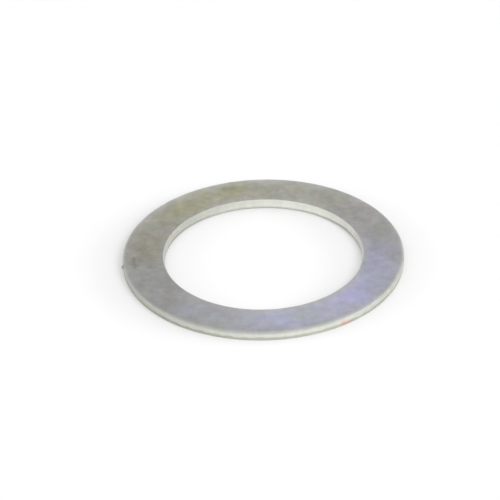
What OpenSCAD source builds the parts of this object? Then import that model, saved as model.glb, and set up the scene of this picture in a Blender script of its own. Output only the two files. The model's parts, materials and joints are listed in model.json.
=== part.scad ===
// Flat ring gasket, stamped in one piece from plated sheet steel.
// The ring lies on its underside: the origin is the middle of the bore on the seat, with +Z up.
// A follow-on die pierces the bore and then cuts the rim from the other side of the sheet, so the two
// sheared walls are opposite ways up: the die roll is on top at the rim and underneath at the bore.

/* [Ring] */
// Diameter over the rim
outer_d = 28.5; // [24:0.5:60]
// Diameter of the bore at its smooth land, where it is narrowest
bore_d = 20; // [6:0.5:24]
// Thickness of the sheet
sheet_t = 1; // [0.8:0.05:3]

/* [Sheared rim] */
// Radius of the die roll, where the sheet was drawn over the edge of the die
rim_roll_r = 0.4; // [0.1:0.05:0.6]
// Height of the torn band, which ends the wall on its burr side
rim_torn_h = 0.3; // [0.1:0.05:0.5]
// How far the torn band draws back from the smooth land, by the burr side
rim_torn_draw = 0.03; // [0.01:0.01:0.2]

/* [Sheared bore] */
// Radius of the die roll, where the sheet was drawn down by the punch
bore_roll_r = 0.2; // [0.1:0.05:0.5]
// Height of the torn band, which ends the wall on its burr side
bore_torn_h = 0.4; // [0.1:0.05:0.6]
// How far the torn band draws back from the smooth land, so that the hole opens to its burr side
bore_torn_draw = 0.17; // [0.01:0.01:0.3]

/* [Tumbling] */
// Radius left on both burr sides
break_r = 0.05; // [0.02:0.01:0.1]

/* [Hidden] */
$fn = 96;
zinc_grey = [0.64, 0.64, 0.62];

half_w = (outer_d - bore_d) / 4; // half the width of the band between bore and rim
band_r = (outer_d + bore_d) / 4; // radius of the band's middle line
half_t = sheet_t / 2;
arc_ease = 1.0005;               // an arc this much over the tangent one crosses both its lines

// Cuts a corner at the origin down to an arc. The face runs to the left of the corner, and the wall
// runs down from it, leaning out to the right by the given angle.
module corner_cut(radius, lean = 0) {
    setback = radius / tan(45 + lean / 2);
    reach = 2 * radius;
    translate([-setback, -radius])
        difference() {
            polygon([
                [0, 0],
                [0, reach],
                [reach, reach],
                [reach * cos(lean), reach * sin(lean)]
            ]);
            circle(radius * arc_ease);
        }
}

// Half of the band's section, from its middle line to the wall on the right, with the die roll on top
module sheared_half(roll_r, torn_h, torn_draw) {
    torn_lean = atan(torn_draw / torn_h);
    difference() {
        polygon([
            [0, half_t],
            [half_w, half_t],
            [half_w, torn_h - half_t],
            [half_w - torn_draw, -half_t],
            [0, -half_t]
        ]);
        translate([half_w, half_t])
            corner_cut(roll_r);
        translate([half_w - torn_draw, -half_t])
            mirror([0, 1])
                corner_cut(break_r, torn_lean);
    }
}

// The whole part: the half of the band at the rim, and the half at the bore, which is turned over
module gasket_ring() {
    color(zinc_grey)
        rotate_extrude()
            translate([band_r, half_t]) {
                sheared_half(rim_roll_r, rim_torn_h, rim_torn_draw);
                rotate(180)
                    sheared_half(bore_roll_r, bore_torn_h, bore_torn_draw);
            }
}

gasket_ring();
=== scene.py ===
"""A flat ring gasket, stamped from plated sheet steel, lying on a white studio sweep."""

import json
import math

import bpy
import numpy as np
from mathutils import Matrix, Vector


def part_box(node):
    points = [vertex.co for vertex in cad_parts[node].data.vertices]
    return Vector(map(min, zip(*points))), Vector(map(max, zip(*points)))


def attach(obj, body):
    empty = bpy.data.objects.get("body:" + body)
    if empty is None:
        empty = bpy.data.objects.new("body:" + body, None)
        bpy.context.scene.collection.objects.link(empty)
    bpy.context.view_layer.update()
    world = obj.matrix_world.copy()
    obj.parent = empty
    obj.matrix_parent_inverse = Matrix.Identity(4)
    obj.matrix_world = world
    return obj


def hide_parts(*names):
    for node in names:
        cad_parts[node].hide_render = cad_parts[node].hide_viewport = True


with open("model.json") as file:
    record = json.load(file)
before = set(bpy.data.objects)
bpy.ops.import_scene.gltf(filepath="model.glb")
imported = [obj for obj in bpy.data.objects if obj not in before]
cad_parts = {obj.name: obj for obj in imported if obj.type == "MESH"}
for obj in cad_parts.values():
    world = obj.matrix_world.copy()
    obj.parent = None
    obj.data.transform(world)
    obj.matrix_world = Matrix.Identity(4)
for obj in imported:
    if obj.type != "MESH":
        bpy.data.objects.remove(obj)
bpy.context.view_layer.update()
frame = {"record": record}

NODE = "gasket_ring"
MM = 0.001
SEED = 28

# Sizes of the ring that the frame gives, in millimetres
node_low, node_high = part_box(NODE)
RIM_R = node_high.x / MM
SHEET_T = (node_high.z - node_low.z) / MM
BORE_R = next(m["dims"]["r_mm"] for m in frame["record"]["mounts"] if m["name"] == "bore")
BAND_R = (RIM_R + BORE_R) / 2
HALF_W = (RIM_R - BORE_R) / 2
HALF_T = SHEET_T / 2

# Sizes of the sheared edges, as in the part's source, in millimetres, and the power by which the face's
# film fades out over the roll
RIM_SHEAR = {"roll_r": 0.4, "torn_h": 0.3, "torn_draw": 0.03, "roll_fade": 1.7}
BORE_SHEAR = {"roll_r": 0.2, "torn_h": 0.4, "torn_draw": 0.17, "roll_fade": 3}
BREAK_R = 0.05

# The ring's mesh: spokes round the axis, places along half a face as shares of it, and steps along the
# other stretches of the section
SPOKES = 1000
FACE_SHARES = (0.0, 0.25, 0.5, 0.75, 0.92, 0.985)
ROLL_STEPS = 12
LAND_STEPS = 4
TORN_STEPS = 8
BREAK_STEPS = 5

# Relief of the sheared walls: depths in millimetres, and the waves that make it up, in turns round the ring.
# The tear changes faster up a wall than round it, and the two walls lie apart in the waves' field.
TEAR_RELIEF = 0.012
TEAR_WAVES = {"count": 40, "slowest": 60, "fastest": 240, "seed": SEED + 1}
TEAR_CLIMB = 6
TEAR_LINE_WANDER = 0.05
WANDER_WAVES = {"count": 12, "slowest": 5, "fastest": 70, "seed": SEED}
WALLS_APART = 7

# Knocks that the edges took in the tumbler: sizes in millimetres, how far over the roll they lie, in
# radians, and the share of them at the rim
KNOCKS = 70
KNOCK_SEED = SEED + 2
KNOCK_REACH = (0.08, 0.28)
KNOCK_DEPTH = (0.004, 0.022)
KNOCK_TILT = (0.2, 1.2)
KNOCK_RIM_SHARE = 0.7

# A nib that was torn out of the rim's wall, painted dark with the wall above it: azimuth in degrees, height
# and sizes in millimetres. The mesh has more spokes over its span, in reaches, and its dark patch is a row
# of spots (azimuth, height, reach).
NIB_AZIMUTH = 184.4
NIB_HEIGHT = 0.5
NIB_SPOKES = 40
NIB_SPAN = 3
NIB_REACH = 0.22
NIB_LENGTH = 0.16
NIB_DARK_SPOTS = ((NIB_AZIMUTH, NIB_HEIGHT, 0.5), (185.3, 0.66, 0.4), (186.2, 0.8, 0.38))
NIB_DARK_SHARE = 0.75
NIB_DARK = (0.21, 0.22, 0.195, 1)

# Colours of the plate: its film over the faces, from straw to violet, two faint tints of it, the bare
# sheared walls, and the share of the film that is left on them
FILM = (
    (0.0, (0.485, 0.457, 0.312)),
    (0.25, (0.466, 0.458, 0.381)),
    (0.5, (0.455, 0.453, 0.450)),
    (0.75, (0.447, 0.453, 0.539)),
    (1.0, (0.452, 0.447, 0.633)),
)
ROSE = (1.03, 0.985, 1.03, 1)
LEAF = (0.97, 1.015, 0.97, 1)
RIM_LAND = (0.685, 0.699, 0.606, 1)
RIM_TORN = (0.516, 0.525, 0.440, 1)
# Painted light: the bore's wall colours are lighter than the rim's, standing in for the bright floor it
# reflects
BORE_LAND_LIT = (0.839, 0.853, 0.768, 1)
BORE_TORN_LIT = (0.807, 0.823, 0.742, 1)
WALL_FILM = 0.3

# How the film lies over the ring: directions in degrees round from +X, and shares of the film's depth.
# It leans to one side, turns over between the back half and the front half, and is neutral by the edges.
FILM_NEUTRAL = 0.5
BACK_AZIMUTH = 90
FILM_AZIMUTH = -35
FILM_LEAN = 0.223
FILM_TURN = 0.108
FILM_TURN_SOFT = 0.4
FILM_SHIFT = 0.1
FILM_FADE = (0.35, 1.15)

# How light the plate is, as factors about one: it leans to one side, swells towards an azimuth and its
# opposite, and is paler by the edges than in the face's middle, at the rim by more on one side
# Painted light: the lean and the walls' swells make it lighter towards the lamps and where walls face the
# camera
LIT_SIDE_AZIMUTH = -39
LIT_SIDE_SHARE = 0.113
FACE_SWELL = {"azimuth": -74, "low": 0.891, "high": 1.109, "power": 2}
RIM_LIT_SWELL = {"azimuth": -75, "low": 0.84, "high": 1.16, "power": 2}
BORE_LIT_SWELL = {"azimuth": 72, "low": 0.81, "high": 1.11, "power": 3}
FACE_MIDDLE_TONE = 0.975
BORE_EDGE_SHARE = 0.1
RIM_EDGE_SHARE = 0.14
RIM_EDGE_SWING = 0.24
RIM_EDGE_AZIMUTH = 100

# Painted shade: the foot of the bore's wall is darker than the rest, standing in for the shade where it
# meets the floor: heights in millimetres, how the line between them wanders, in waves a millimetre and
# millimetres, and how light both are
BORE_FOOT_SHADE = (0.2, 0.42)
BORE_SHADE_WANDER = (0.7, 0.05)
BORE_SHADE_SWELL = {"azimuth": 98, "low": 0.56, "high": 0.96, "power": 2}
BORE_TOP_TONE = 1.06

# Painted light: the tear fades out where the wall faces left or right, matched to how light falls on those
# ends of the wall: azimuth in degrees, and the shares of a wall's heading along it between which the tear
# fades out
TEAR_FADE_AZIMUTH = 8
TEAR_FADE = (0.76, 0.97)

# Unevenness of the plate: waves a millimetre, or how many along each axis, and the share of each. The
# film is cloudier where it is deeper, and the face towards one azimuth.
FILM_CLOUDS = ((0.15, 0.12), (0.38, 0.12))
FILM_CLOUD_LEAST = 0.6
FILM_CLOUD_GROWTH = 2.8
FILM_WOBBLE = (0.5, 0.6)
EVEN_MIX = 0.5
FACE_CLOUDS = ((0.35, 0.12), (1.1, 0.11), (3.5, 0.045))
FACE_CLOUD_AZIMUTH = 110
FACE_CLOUD_LEAN = 0.2
ROLLED_GRAIN = (0.6, 5, 5)
ROLLED_GRAIN_SHARE = 0.025
DRAG_MARKS = (6, 6, 0.7)
DRAG_MARK_SHARE = 0.03
DRAG_BANDS = (1.3, 1.3, 0.4)
DRAG_BAND_SHARE = 0.045

# Roughness of the plate and its rust, the waves of its clouds, and how metallic the rust is
FACE_ROUGH = 0.42
FACE_ROUGH_CLOUDS = ((1.5, 0.05), (0.25, 0.04))
LAND_ROUGH = 0.34
TORN_ROUGH = 0.55
RUST_ROUGH = 0.85
RUST_METAL = 0.3

# Fine relief of the plate: waves a millimetre, and heights in millimetres
FACE_RELIEF = ((2.5, 0.0012), (12, 0.0006))
TORN_RELIEF = (9, 0.006)
DRAG_DEPTH = 0.004

# A scuff on the face: its ends, width and depth in millimetres, how ragged it is and how much it darkens
SCUFF_ENDS = ((-13.14, -0.25), (-12.97, -2.0))
SCUFF_WIDTH = 0.38
SCUFF_RAGGED = (2.5, 0.05)
SCUFF_SHARE = 0.18
SCUFF_DEPTH = 0.004

# A rust stain low on the rim's wall, with a pale bloom above it: spots (azimuth in degrees, height and
# reach in millimetres), the share of each at its middle, and how ragged every stain is
RUST_SPOTS = ((-56.6, 0.17, 0.52), (-54.7, 0.14, 0.42), (-53.0, 0.12, 0.42))
RUST_SHARE = 0.62
RUST = (0.53, 0.33, 0.30, 1)
BLOOM_SPOTS = ((-56.9, 0.4, 0.68), (-54.8, 0.36, 0.58))
BLOOM_SHARE = 0.54
BLOOM = (0.85, 0.56, 0.52, 1)
STAIN_RAGGED = (5, 0.12)

# Noise nodes: octaves beyond the first, the value in the middle of the noise, and the gain that brings its
# usual reach to one either way
NOISE_DETAIL = 3
NOISE_MIDDLE = 0.5
NOISE_GAIN = 4

# Sockets of a Mix node by the kind of its data: its two inputs and its output
MIX_SOCKETS = {"RGBA": (6, 7, 2), "FLOAT": (2, 3, 0)}

# Camera, by the photograph: angles in degrees, lengths in millimetres, pixels of a 500 pixel frame
FRAME_PX = 500
FOCAL_PX = 5626
SENSOR = 36
CAMERA_AZIMUTH = -90
CAMERA_ELEVATION = 33.17
CAMERA_ROLL = 1.45
CAMERA_DISTANCE = 40 * RIM_R
RING_RIGHT_PX = 263.5
RING_DOWN_PX = 261.8

# Studio: lengths in metres, angles in degrees, paper and sky as shares of white, and lamps in watts
FLOOR_R = 0.6
SWEEP_R = 0.25
SWEEP_STEPS = 12
SWEEP_SPOKES = 96
NEAREST_SEEN = 0.01
FURTHEST_SEEN = 10
PAPER_SHADE = 0.757
PAPER_GLOW = 0.13
SKY_LEVEL = 0.84
SKY_LEAN = 0.08
SKY_AZIMUTH = -65
LAMP_DISTANCE = 0.8
LAMPS = {
    "key": {"azimuth": -48, "elevation": 38, "watts": 2.05, "width": 0.4, "height": 0.4},
    "left_side": {"azimuth": 180, "elevation": 12, "watts": 2.1, "width": 0.6, "height": 0.17},
    "right_side": {"azimuth": 0, "elevation": 12, "watts": 3.4, "width": 0.6, "height": 0.17},
}


class Graph:
    """Adds nodes to a tree, so that a formula reads in the order in which it is worked out."""

    def __init__(self, tree):
        self.tree = tree

    def feed(self, node, inputs):
        """Set a node's inputs, by name or number, to values or to other nodes' outputs."""
        for key, value in inputs.items():
            if isinstance(value, bpy.types.NodeSocket):
                self.tree.links.new(value, node.inputs[key])
            else:
                node.inputs[key].default_value = value
        return node

    def add(self, kind, *values, **settings):
        """A node whose inputs take the values in order."""
        node = self.tree.nodes.new("ShaderNode" + kind)
        for name, value in settings.items():
            setattr(node, name, value)
        return self.feed(node, dict(enumerate(values)))

    def math(self, operation, *values):
        """A number worked out from others."""
        return self.add("Math", *values, operation=operation).outputs[0]

    def dot(self, vector, direction):
        """How far a vector goes along a direction."""
        return self.add("VectorMath", vector, direction, operation="DOT_PRODUCT").outputs["Value"]

    def stretch(self, vector, factors):
        """A vector times a factor along each axis."""
        return self.add("VectorMath", vector, factors, operation="MULTIPLY").outputs[0]

    def swing(self, vector, scale, share):
        """Noise about zero: scale is in waves a millimetre, and share is about half its reach."""
        noise = self.add("TexNoise")
        self.feed(noise, {"Vector": vector, "Scale": scale, "Detail": NOISE_DETAIL})
        gain = NOISE_GAIN * share
        return self.math("MULTIPLY_ADD", noise.outputs["Fac"], gain, -gain * NOISE_MIDDLE)

    def clouds(self, vector, waves):
        """Noise about zero, in layers of a scale and a share each."""
        return self.total(*(self.swing(vector, scale, share) for scale, share in waves))

    def total(self, first, *rest):
        """The sum of numbers."""
        for value in rest:
            first = self.math("ADD", first, value)
        return first

    def fade(self, value, start, stop, low, high):
        """A smooth change from low to high as the value goes from start to stop."""
        node = self.add("MapRange", value, start, stop, low, high, interpolation_type="SMOOTHSTEP")
        return node.outputs["Result"]

    def mix(self, kind, factor, one, other, **settings):
        """One input at a factor of 0, and the other at 1."""
        first, second, result = MIX_SOCKETS[kind]
        node = self.add("Mix", data_type=kind, **settings)
        return self.feed(node, {0: factor, first: one, second: other}).outputs[result]

    def blend(self, factor, one, other, mode="MIX"):
        """A colour between two, or of one over the other by another mode."""
        return self.mix("RGBA", factor, one, other, blend_type=mode)

    def lerp(self, factor, one, other):
        """A number between two."""
        return self.mix("FLOAT", factor, one, other)

    def attribute(self, name):
        """A number that the mesh holds at each of its points."""
        return self.add("Attribute", attribute_name=name).outputs["Fac"]


def heading(azimuth, elevation=0.0):
    """Unit vector at an azimuth from +X and an elevation, both in degrees."""
    a, e = math.radians(azimuth), math.radians(elevation)
    return Vector((math.cos(a) * math.cos(e), math.sin(a) * math.cos(e), math.sin(e)))


def ripple(angle, height, count, slowest, fastest, seed):
    """A smooth random field round the ring, about -1 to 1, that closes on itself."""
    draw = np.random.default_rng(seed)
    turns = draw.integers(slowest, fastest + 1, count)
    climbs = draw.normal(0, fastest / BAND_R / 2, count)
    phases = draw.uniform(0, 2 * math.pi, count)
    waves = [np.cos(n * angle + c * height + p) for n, c, p in zip(turns, climbs, phases)]
    return np.sum(waves, axis=0) / math.sqrt(count)


def evenly(steps):
    """Shares of a length at even steps, without its end."""
    return np.linspace(0, 1, steps, endpoint=False)


def arc(centre, radius, start, stop, steps):
    """Points of an arc, angles in degrees, without its last point."""
    angles = np.radians(start + (stop - start) * evenly(steps))
    return [(centre[0] + radius * math.cos(a), centre[1] + radius * math.sin(a)) for a in angles]


def line(start, stop, shares):
    """Points on a straight line at the given shares of its length."""
    return [tuple((1 - s) * a + s * b for a, b in zip(start, stop)) for s in shares]


def half_section(roll_r, torn_h, torn_draw, roll_fade):
    """Half of the band's section, from the middle of the top face round to the middle of the underside.

    Returns a row for each point: its place across and up from the section's middle, how far it belongs
    to the sheared wall and to the torn band, and how far it follows the wandering tear line.
    """
    lean = math.degrees(math.atan(torn_draw / torn_h))
    setback = BREAK_R / math.tan(math.radians(45 + lean / 2))
    break_centre = (HALF_W - torn_draw - setback, BREAK_R - HALF_T)
    break_start = tuple(c + BREAK_R * f for c, f in zip(break_centre, heading(-lean)))
    roll_centre = (HALF_W - roll_r, HALF_T - roll_r)
    land_top = (HALF_W, HALF_T - roll_r)
    land_foot = (HALF_W, torn_h - HALF_T)
    inward = [1 - s for s in FACE_SHARES[:0:-1]]
    stretches = (
        (line((0, HALF_T), (roll_centre[0], HALF_T), FACE_SHARES), 0, 0, 0),
        (arc(roll_centre, roll_r, 90, 0, ROLL_STEPS), 0, 1, 0),
        (line(land_top, land_foot, evenly(LAND_STEPS)), 1, 1, 0),
        (line(land_foot, break_start, evenly(TORN_STEPS)), 1, 1, 1),
        (arc(break_centre, BREAK_R, -lean, -90, BREAK_STEPS), 1, 0, 1),
        (line((break_centre[0], -HALF_T), (0, -HALF_T), inward), 0, 0, 0),
    )
    rows = []
    for points, wall_from, wall_to, torn in stretches:
        walls = (wall_from + (wall_to - wall_from) * evenly(len(points))) ** roll_fade
        for (across, up), wall in zip(points, walls):
            follows = np.interp(up, (break_start[1], land_foot[1], land_top[1]), (0, 1, 0)) * wall
            rows.append((across, up, wall, torn, follows))
    return np.array(rows)


def knock_depth(angle, across, up):
    """How deep each point was knocked in: dents at random places along the ring's two top edges."""
    draw = np.random.default_rng(KNOCK_SEED)
    depth = np.zeros_like(angle)
    for _ in range(KNOCKS):
        at_rim = draw.random() < KNOCK_RIM_SHARE
        place = draw.uniform(0, 2 * math.pi)
        reach = draw.uniform(*KNOCK_REACH)
        deep = draw.uniform(*KNOCK_DEPTH)
        tilt = draw.uniform(*KNOCK_TILT)
        roll_r = RIM_SHEAR["roll_r"]
        spot = (HALF_W - roll_r * (1 - math.sin(tilt)), HALF_T - roll_r * (1 - math.cos(tilt)))
        if not at_rim:
            spot = (BORE_SHEAR["torn_draw"] - HALF_W, HALF_T)
        turn = np.angle(np.exp(1j * (angle - place)))
        gap = (turn * (BAND_R + spot[0])) ** 2 + (across - spot[0]) ** 2 + (up - spot[1]) ** 2
        spread = reach / 2
        depth += deep * np.exp(-gap / (2 * spread ** 2))
    return depth


def ring_mesh():
    """The ring as a closed grid of quads round the axis, with the relief of its edges."""
    rim, bore = half_section(**RIM_SHEAR), half_section(**BORE_SHEAR)
    section = np.concatenate([rim, bore * (-1, -1, 1, 1, 1)])
    side = np.repeat([1, -1], [len(rim), len(bore)])
    nib_place = math.radians(NIB_AZIMUTH)
    nib_span = NIB_SPAN * NIB_REACH / RIM_R
    around = np.union1d(
        2 * math.pi * evenly(SPOKES),
        np.linspace(nib_place - nib_span, nib_place + nib_span, NIB_SPOKES),
    )
    angle = np.repeat(around[:, None], len(section), axis=1)
    across, up, wall, torn, follows = (np.broadcast_to(c, angle.shape) for c in section.T)

    tear = np.abs(ripple(angle, TEAR_CLIMB * up + WALLS_APART * side, **TEAR_WAVES))
    tear = TEAR_RELIEF * tear * torn * wall
    wander = TEAR_LINE_WANDER * ripple(angle, WALLS_APART * side, **WANDER_WAVES) * follows
    nib_gap = np.hypot((angle - nib_place) * RIM_R, up + HALF_T - NIB_HEIGHT)
    nib = NIB_LENGTH * np.exp(-(nib_gap / NIB_REACH) ** 2) * (side > 0) * wall
    inward = knock_depth(angle, across, up) / np.hypot(across, up)
    radius = BAND_R + across - side * tear + nib - across * inward
    level = HALF_T + up - side * wander - up * inward

    co = np.stack([radius * np.cos(angle), radius * np.sin(angle), level], axis=-1) * MM
    index = np.arange(angle.size).reshape(angle.shape)
    ahead = np.roll(index, -1, axis=0)
    quads = np.stack([index, np.roll(index, -1, axis=1), np.roll(ahead, -1, axis=1), ahead], axis=-1)
    mesh = bpy.data.meshes.new("ring")
    mesh.from_pydata(co.reshape(-1, 3).tolist(), [], quads.reshape(-1, 4).tolist())
    for name, values in (("wall", wall), ("torn", torn)):
        attribute = mesh.attributes.new(name, "FLOAT", "POINT")
        attribute.data.foreach_set("value", values.astype(np.float32).ravel())
    mesh.shade_smooth()
    mesh.validate()
    return mesh


def make_ring():
    """The dressed ring, which stands for the part's one node."""
    ring = bpy.data.objects.new("ring", ring_mesh())
    bpy.context.scene.collection.objects.link(ring)
    ring.data.materials.append(plated_steel())
    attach(ring, "root")
    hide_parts(NODE)


def film_colour(graph, place, outward, across):
    """The thin film over the plate: straw at the back left, violet at the front right, and cloudy."""
    back = graph.dot(outward, heading(BACK_AZIMUTH))
    lean = graph.dot(outward, heading(FILM_AZIMUTH) * FILM_LEAN)
    turn = graph.fade(back, -FILM_TURN_SOFT, FILM_TURN_SOFT, FILM_TURN, -FILM_TURN)
    plain = graph.total(lean, turn)
    cloudy = graph.math("ABSOLUTE", plain)
    cloudy = graph.math("MULTIPLY_ADD", cloudy, FILM_CLOUD_GROWTH, FILM_CLOUD_LEAST)
    depth = graph.math("MULTIPLY_ADD", graph.clouds(place, FILM_CLOUDS), cloudy, plain)
    off_middle = graph.math("ABSOLUTE", graph.math("MULTIPLY_ADD", back, FILM_SHIFT, across))
    strength = graph.fade(off_middle, *FILM_FADE, 1.0, 0.0)
    ramp = graph.add("ValToRGB", graph.math("MULTIPLY_ADD", depth, strength, FILM_NEUTRAL))
    stops = ramp.color_ramp.elements
    while len(stops) < len(FILM):
        stops.new(FILM_NEUTRAL)
    for stop, (position, colour) in zip(stops, FILM):
        stop.position = position
        stop.color = colour + (1,)
    wobble = graph.total(graph.swing(place, *FILM_WOBBLE), EVEN_MIX)
    return graph.blend(1, ramp.outputs["Color"], graph.blend(wobble, ROSE, LEAF), "MULTIPLY")


def swell(graph, outward, azimuth, low, high, power):
    """A factor that swells from low to high towards an azimuth and towards its opposite."""
    along = graph.math("ABSOLUTE", graph.dot(outward, heading(azimuth)))
    return graph.math("MULTIPLY_ADD", graph.math("POWER", along, power), high - low, low)


def plate_tone_and_light(graph, place, outward, wall, in_bore):
    """How light the plate is round the ring, on the faces and on the two walls, as a factor about one. Its
    lean and the walls' swells are painted light, and the bore's foot painted shade.
    """
    # Painted light: lighter towards the lamps at the front right, and on the walls that face the camera
    lit_side = graph.dot(outward, heading(LIT_SIDE_AZIMUTH) * LIT_SIDE_SHARE)
    rim = graph.lerp(wall, swell(graph, outward, **FACE_SWELL), swell(graph, outward, **RIM_LIT_SWELL))
    # Painted shade: darker towards the foot of the bore's wall, the more so away from the back
    height = graph.math("ADD", graph.dot(place, (0, 0, 1)), graph.swing(place, *BORE_SHADE_WANDER))
    foot = swell(graph, outward, **BORE_SHADE_SWELL)
    shade_rise = graph.fade(height, *BORE_FOOT_SHADE, foot, BORE_TOP_TONE)
    bore = graph.math("MULTIPLY", swell(graph, outward, **BORE_LIT_SWELL), shade_rise)
    return graph.lerp(graph.math("MULTIPLY", in_bore, wall), graph.math("ADD", rim, lit_side), bore)


def face_tone(graph, place, outward, across):
    """How light the film is from place to place: clouds, mottle, rolled grain, and paler by the edges."""
    by_rim = graph.math("GREATER_THAN", across, 0)
    swing = graph.dot(outward, heading(RIM_EDGE_AZIMUTH) * RIM_EDGE_SWING)
    share = graph.lerp(by_rim, BORE_EDGE_SHARE, graph.total(swing, RIM_EDGE_SHARE))
    edge = graph.math("MULTIPLY", graph.math("MULTIPLY", across, across), share)
    grain = graph.swing(graph.stretch(place, ROLLED_GRAIN), 1, ROLLED_GRAIN_SHARE)
    cloudy = graph.total(graph.dot(outward, heading(FACE_CLOUD_AZIMUTH) * FACE_CLOUD_LEAN), 1)
    clouds = graph.math("MULTIPLY", graph.clouds(place, FACE_CLOUDS), cloudy)
    return graph.total(clouds, grain, edge, FACE_MIDDLE_TONE)


def scuff(graph, place):
    """The share of a short scuff on the face, from its middle line out to its soft sides."""
    start, stop = (Vector((x, y, SHEET_T)) for x, y in SCUFF_ENDS)
    run = stop - start
    offset = graph.add("VectorMath", place, start, operation="SUBTRACT").outputs[0]
    along = graph.add("Clamp", graph.dot(offset, run / run.length_squared)).outputs[0]
    foot = graph.add("VectorMath", run, operation="SCALE")
    graph.feed(foot, {"Scale": along})
    gap = graph.add("VectorMath", offset, foot.outputs[0], operation="DISTANCE").outputs["Value"]
    ragged = graph.math("ADD", gap, graph.swing(place, *SCUFF_RAGGED))
    return graph.fade(ragged, 0.0, SCUFF_WIDTH, 1.0, 0.0)


def stain(graph, place, spots, share):
    """The share of a stain that lies round the given spots, fading over its ragged rim."""
    ragged = graph.swing(place, *STAIN_RAGGED)
    mask = 0
    for azimuth, height, reach in spots:
        spot = heading(azimuth) * RIM_R + Vector((0, 0, height))
        gap = graph.add("VectorMath", place, spot, operation="DISTANCE").outputs["Value"]
        depth = graph.math("MULTIPLY_ADD", gap, -1 / reach, 1)
        mask = graph.math("MAXIMUM", mask, graph.fade(graph.total(depth, ragged), 0.0, 1.0, 0.0, share))
    return mask


def plated_steel():
    """Passivated plate: a satin film on the faces, bare bright land and matt tear on the sheared walls."""
    material = bpy.data.materials.new("plated_steel")
    material.use_nodes = True
    graph = Graph(material.node_tree)
    shader = material.node_tree.nodes["Principled BSDF"]
    wall, torn = graph.attribute("wall"), graph.attribute("torn")
    place = graph.stretch(graph.add("TexCoord").outputs["Object"], (1 / MM,) * 3)
    level = graph.stretch(place, (1, 1, 0))
    outward = graph.add("VectorMath", level, operation="NORMALIZE").outputs[0]
    reach = graph.add("VectorMath", level, operation="LENGTH").outputs["Value"]
    across = graph.math("MULTIPLY_ADD", reach, 1 / HALF_W, -BAND_R / HALF_W)
    in_bore = graph.math("LESS_THAN", across, 0)

    film = film_colour(graph, place, outward, across)
    scuffed = scuff(graph, place)
    light = face_tone(graph, place, outward, across)
    light = graph.math("MULTIPLY", light, graph.math("MULTIPLY_ADD", scuffed, -SCUFF_SHARE, 1))
    face = graph.blend(1, film, light, "MULTIPLY")

    # Painted light: the bore's wall takes the lighter copies of the wall colours
    land = graph.blend(in_bore, RIM_LAND, BORE_LAND_LIT)
    tear = graph.blend(in_bore, RIM_TORN, BORE_TORN_LIT)
    # Painted light: the tear fades at the wall's left and right ends
    along_fade = graph.math("ABSOLUTE", graph.dot(outward, heading(TEAR_FADE_AZIMUTH)))
    tear_share = graph.math("MULTIPLY", torn, graph.fade(along_fade, *TEAR_FADE, 1.0, 0.0))
    sheared = graph.blend(WALL_FILM, graph.blend(tear_share, land, tear), film)
    drag_marks = graph.stretch(place, DRAG_MARKS)
    drag_bands = graph.swing(graph.stretch(place, DRAG_BANDS), 1, DRAG_BAND_SHARE)
    streaks = graph.total(graph.swing(drag_marks, 1, DRAG_MARK_SHARE), drag_bands, 1)
    sheared = graph.blend(1, sheared, streaks, "MULTIPLY")

    tone_and_light = plate_tone_and_light(graph, place, outward, wall, in_bore)
    bright = graph.blend(1, graph.blend(wall, face, sheared), tone_and_light, "MULTIPLY")
    # The nib and the wall above it are painted dark
    nib = stain(graph, place, NIB_DARK_SPOTS, NIB_DARK_SHARE)
    bright = graph.blend(nib, bright, NIB_DARK)
    bloom = stain(graph, place, BLOOM_SPOTS, BLOOM_SHARE)
    rust = stain(graph, place, RUST_SPOTS, RUST_SHARE)
    colour = graph.blend(rust, graph.blend(bloom, bright, BLOOM), RUST)
    rust = graph.math("MAXIMUM", rust, bloom)

    smooth = graph.total(graph.clouds(place, FACE_ROUGH_CLOUDS), FACE_ROUGH)
    rough = graph.lerp(wall, smooth, graph.lerp(torn, LAND_ROUGH, TORN_ROUGH))
    rough = graph.lerp(rust, rough, RUST_ROUGH)

    dragged = graph.math("MULTIPLY", graph.swing(drag_marks, 1, DRAG_DEPTH), wall)
    broken = graph.math("MULTIPLY", graph.swing(place, *TORN_RELIEF), torn)
    scored = graph.math("MULTIPLY", scuffed, -SCUFF_DEPTH)
    height = graph.total(graph.clouds(place, FACE_RELIEF), dragged, broken, scored)
    bump = graph.add("Bump")
    graph.feed(bump, {"Strength": 1, "Distance": MM, "Height": height})

    graph.feed(shader, {
        "Base Color": colour,
        "Metallic": graph.lerp(rust, 1, RUST_METAL),
        "Roughness": rough,
        "Normal": bump.outputs["Normal"],
    })
    return material


def white_paper():
    """Paper that is white to the eye and in the metal, and keeps the soft shadow of what lies on it."""
    paper = bpy.data.materials.new("paper")
    paper.use_nodes = True
    paper.cycles.emission_sampling = "NONE"
    tree = paper.node_tree
    graph = Graph(tree)
    rays = graph.add("LightPath").outputs
    seen = graph.math("MAXIMUM", rays["Is Camera Ray"], rays["Is Glossy Ray"])
    seen = graph.math("MAXIMUM", seen, rays["Is Transmission Ray"])
    plain = graph.add("BsdfDiffuse", (PAPER_SHADE,) * 3 + (1,)).outputs[0]
    glow = graph.add("Emission", (1, 1, 1, 1), graph.math("MULTIPLY", seen, PAPER_GLOW)).outputs[0]
    both = graph.add("AddShader", plain, glow).outputs[0]
    tree.links.new(both, tree.nodes["Material Output"].inputs["Surface"])
    return paper


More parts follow.
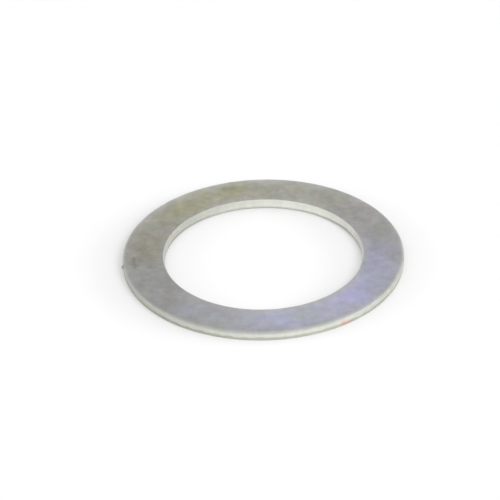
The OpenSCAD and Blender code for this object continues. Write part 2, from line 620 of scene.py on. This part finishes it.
def make_sweep():
    """A round white floor that curves up at its rim, so that every view has a plain ground."""
    climb = np.radians(np.linspace(0, 90, SWEEP_STEPS + 1))
    profile = [(FLOOR_R + SWEEP_R * math.sin(a), SWEEP_R * (1 - math.cos(a))) for a in climb]
    around = 2 * math.pi * evenly(SWEEP_SPOKES)
    co = [(0, 0, 0)] + [(r * math.cos(a), r * math.sin(a), z) for r, z in profile for a in around]
    rings = 1 + np.arange(len(profile) * SWEEP_SPOKES).reshape(len(profile), SWEEP_SPOKES)
    ahead = np.roll(rings, -1, axis=1)
    floor = [(0, a, b) for a, b in zip(rings[0].tolist(), ahead[0].tolist())]
    bend = np.stack([rings[:-1], rings[1:], ahead[1:], ahead[:-1]], axis=-1).reshape(-1, 4).tolist()
    mesh = bpy.data.meshes.new("sweep")
    mesh.from_pydata(co, [], floor + bend)
    mesh.shade_smooth()
    mesh.materials.append(white_paper())
    sweep = bpy.data.objects.new("sweep", mesh)
    bpy.context.scene.collection.objects.link(sweep)


def make_sky():
    """A pale sky that grows lighter towards the front right."""
    world = bpy.data.worlds.new("sky")
    bpy.context.scene.world = world
    world.use_nodes = True
    graph = Graph(world.node_tree)
    towards = graph.add("TexCoord").outputs["Generated"]
    facing = graph.dot(towards, heading(SKY_AZIMUTH))
    graph.feed(world.node_tree.nodes["Background"], {
        "Color": (1, 1, 1, 1),
        "Strength": graph.math("MULTIPLY_ADD", facing, SKY_LEAN, SKY_LEVEL),
    })


def make_lamp(name, azimuth, elevation, watts, width, height):
    """A soft lamp that lays the ring's shadow on the floor without a glint in the metal."""
    lamp = bpy.data.lights.new(name, "AREA")
    lamp.shape = "RECTANGLE"
    lamp.size = width
    lamp.size_y = height
    lamp.energy = watts
    stand = bpy.data.objects.new(name, lamp)
    towards = heading(azimuth, elevation)
    stand.location = towards * LAMP_DISTANCE
    stand.rotation_euler = towards.to_track_quat("Z", "Y").to_euler()
    stand.visible_glossy = False
    bpy.context.scene.collection.objects.link(stand)


def make_camera():
    """A long lens that looks down along +Y, set so that the ring falls where the photograph has it."""
    back = heading(CAMERA_AZIMUTH, CAMERA_ELEVATION)
    roll = Matrix.Rotation(math.radians(-CAMERA_ROLL), 3, "Z")
    turn = (-back).to_track_quat("-Z", "Y").to_matrix() @ roll
    px = CAMERA_DISTANCE / FOCAL_PX
    right, down = RING_RIGHT_PX - FRAME_PX / 2, RING_DOWN_PX - FRAME_PX / 2
    lens = bpy.data.cameras.new("camera")
    lens.sensor_width = SENSOR
    lens.lens = FOCAL_PX * SENSOR / FRAME_PX
    lens.clip_start = NEAREST_SEEN
    lens.clip_end = FURTHEST_SEEN
    camera = bpy.data.objects.new("camera", lens)
    camera.matrix_world = turn.to_4x4()
    camera.location = (back * CAMERA_DISTANCE + turn @ Vector((-right * px, down * px, 0))) * MM
    bpy.context.scene.collection.objects.link(camera)
    bpy.context.scene.camera = camera


make_camera()
make_ring()
make_sweep()
make_sky()
for lamp_name, lamp_place in LAMPS.items():
    make_lamp(lamp_name, **lamp_place)
bpy.context.scene.view_settings.view_transform = "Standard"
